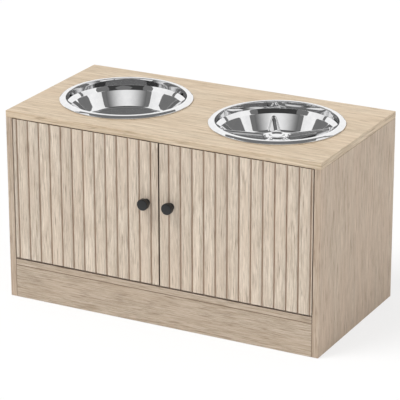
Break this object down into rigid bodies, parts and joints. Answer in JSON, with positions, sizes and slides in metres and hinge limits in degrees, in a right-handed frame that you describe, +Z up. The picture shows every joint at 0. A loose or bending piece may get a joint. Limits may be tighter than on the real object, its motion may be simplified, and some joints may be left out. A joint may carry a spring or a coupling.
{
  "type": "raised pet feeder cabinet",
  "caption": "Raised dog feeding station: a low storage cupboard of laminated boards with fluted doors, and lift-out steel bowls hung in its top.",
  "frame": {"origin": "on the floor, at the middle of the object's whole footprint, knobs included", "axes": "+Z up, +X to the right of someone facing the doors, along the long side; the doors face -Y"},
  "size_m": [0.6, 0.323, 0.3504],
  "materials": {
    "oak_laminate": "matt laminate on board, pale oak grain",
    "hardboard": "thin hardboard, pale face",
    "black_enamel": "satin black",
    "polished_stainless": "mirror-polished stainless steel",
    "white_nylon": "moulded nylon",
    "ferrite": "sintered ferrite magnet",
    "zinc_plate": "zinc-plated steel",
    "zinc_alloy": "die-cast zinc alloy",
    "beech": "turned beech"
  },
  "bodies": {
    "cabinet": {"top_panel": "oak_laminate", "left_side_panel": "oak_laminate", "right_side_panel": "oak_laminate", "bottom_panel": "oak_laminate", "plinth_board": "oak_laminate", "back_panel": "hardboard", "cam_bolts": "zinc_plate", "cam_locks": "zinc_alloy", "wooden_dowels": "beech", "top_pivot_bushes": "white_nylon", "bottom_pivot_bushes": "white_nylon", "catch_housing": "white_nylon", "catch_magnets": "ferrite", "catch_pole_plates": "zinc_plate", "catch_screws": "zinc_plate"},
    "left_door": {"left_door": "oak_laminate", "left_knob": "black_enamel", "left_knob_screw": "zinc_plate", "left_pivot_pins": "zinc_plate", "left_strike_plate": "zinc_plate", "left_strike_screw": "zinc_plate"},
    "right_door": {"right_door": "oak_laminate", "right_knob": "black_enamel", "right_knob_screw": "zinc_plate", "right_pivot_pins": "zinc_plate", "right_strike_plate": "zinc_plate", "right_strike_screw": "zinc_plate"},
    "left_bowl": {"plain_bowl": "polished_stainless"},
    "right_bowl": {"slow_feeder_bowl": "polished_stainless"}
  },
  "joints": [
    {"name": "left_door_hinge", "type": "hinge", "parent": "cabinet", "child": "left_door", "pos_m": [-0.2705, -0.1375, 0.203], "axis": [0, 0, -1], "range_deg": [0, 130]},
    {"name": "right_door_hinge", "type": "hinge", "parent": "cabinet", "child": "right_door", "pos_m": [0.2705, -0.1375, 0.203], "axis": [0, 0, 1], "range_deg": [0, 130]},
    {"name": "left_bowl_lift", "type": "slide", "parent": "cabinet", "child": "left_bowl", "axis": [0, 0, 1], "range_m": [0, 0.1]},
    {"name": "right_bowl_lift", "type": "slide", "parent": "cabinet", "child": "right_bowl", "axis": [0, 0, 1], "range_m": [0, 0.1]}
  ]
}
